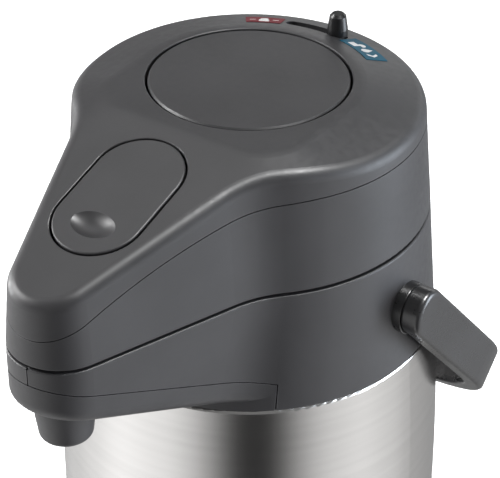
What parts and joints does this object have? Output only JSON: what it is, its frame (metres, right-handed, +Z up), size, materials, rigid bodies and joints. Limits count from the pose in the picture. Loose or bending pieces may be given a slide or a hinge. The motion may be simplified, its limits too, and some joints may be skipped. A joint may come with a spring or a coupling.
{
  "type": "thermal coffee airpot",
  "caption": "Push-button vacuum airpot: brushed steel jacket, dark plastic hinged lid with a long spout nose, pump disc, release button, lock slider and swinging bail handle.",
  "frame": {"origin": "centre of the underside of the rubber base mat, on the axis of the steel jacket, at the surface the airpot stands on", "axes": "+Z up along the jacket's axis; the spout nose points along -Y; +X is to the right seen from the spout side looking along +Y"},
  "size_m": [0.1904, 0.2592, 0.3734],
  "materials": {
    "plastic_grey": "fine satin texture, dark charcoal grey",
    "plastic_top": "fine satin texture, dark charcoal grey",
    "plastic_collar": "fine satin texture, dark charcoal grey",
    "plastic_handle": "smooth satin, dark charcoal grey",
    "plastic_black": "dull black",
    "plastic_inner": "plain moulded",
    "plastic_white": "food-grade natural",
    "steel_brushed": "vertical bright bands, fine brushing",
    "steel_inner": "plain drawn",
    "steel_screw": "plain",
    "steel_spring": "plain",
    "silicone": "translucent grey silicone",
    "rubber_black": "matt",
    "label_red": "printed",
    "label_blue": "printed"
  },
  "bodies": {
    "pot": {"outer_shell": "steel_brushed", "shell_shoulder": "steel_inner", "flask_wall": "steel_inner", "flask_bottom": "steel_inner", "flask_shoulder": "steel_inner", "flask_neck": "steel_inner", "shell_bottom": "steel_inner", "base_holder": "plastic_black", "base_screws": "steel_screw", "collar": "plastic_collar", "nose_cover": "plastic_collar", "collar_tray": "plastic_inner", "latch_keeper": "steel_screw", "neck_nut": "plastic_inner", "mouth_gasket": "silicone", "tube_holder": "plastic_inner", "spout_pipe": "plastic_white", "spout_nozzle": "plastic_black", "spout_cup": "plastic_collar", "dip_tube": "plastic_white", "dip_tube_foot": "plastic_white", "pivot_boss_left": "plastic_handle", "pivot_boss_right": "plastic_handle", "lid_hinge_pin": "steel_screw"},
    "lid": {"lid_side_shell": "plastic_grey", "lid_top_cover": "plastic_top", "lid_bottom_plate": "plastic_inner", "lid_screws": "steel_screw", "bellows_seat": "plastic_inner", "bellows": "silicone", "return_spring": "steel_spring", "air_valve": "silicone", "lid_seal": "silicone", "lock_retainer": "plastic_inner", "button_pin": "steel_screw", "latch_pin": "steel_screw", "latch_spring": "steel_spring", "lock_label": "label_red", "open_label": "label_blue"},
    "pump": {"pump_button": "plastic_top", "pump_plunger": "plastic_inner"},
    "lock": {"lock_ring": "plastic_inner", "lock_knob": "plastic_black"},
    "button": {"release_button": "plastic_top"},
    "latch": {"latch_lever": "plastic_inner"},
    "handle": {"bail_handle": "plastic_handle"},
    "turntable": {"swivel_base": "plastic_black", "hub_washer": "steel_screw", "hub_screw": "steel_screw", "base_mat": "rubber_black"}
  },
  "joints": [
    {"name": "lid_hinge", "type": "hinge", "parent": "pot", "child": "lid", "pos_m": [0, 0.0844, 0.3083], "axis": [-1, 0, 0], "range_deg": [0, 80]},
    {"name": "pump_slide", "type": "slide", "parent": "lid", "child": "pump", "axis": [0, 0, -1], "range_m": [0, 0.022], "stiffness_N_per_m": 900, "springref_m": -0.004, "deforming": ["bellows", "return_spring"]},
    {"name": "lock_turn", "type": "hinge", "parent": "lid", "child": "lock", "pos_m": [0, 0, 0.336], "axis": [0, 0, -1], "range_deg": [-20, 0]},
    {"name": "button_press", "type": "hinge", "parent": "lid", "child": "button", "pos_m": [0, -0.066, 0.352], "axis": [1, 0, 0], "range_deg": [0, 3], "stiffness_Nm_per_rad": 3, "springref_deg": -1.15},
    {"name": "latch_turn", "type": "hinge", "parent": "lid", "child": "latch", "pos_m": [0, -0.104, 0.328], "axis": [1, 0, 0], "range_deg": [0, 15], "stiffness_Nm_per_rad": 0.05, "springref_deg": -5.73},
    {"name": "handle_swing", "type": "hinge", "parent": "pot", "child": "handle", "pos_m": [0, 0, 0.2797], "axis": [1, 0, 0], "range_deg": [0, 150]},
    {"name": "base_turn", "type": "hinge", "parent": "pot", "child": "turntable", "pos_m": [0, 0, 0.0076], "axis": [0, 0, 1], "continuous": true}
  ],
  "couplings": [
    {"joint": "latch_turn", "follows": "button_press", "ratio": 5}
  ]
}
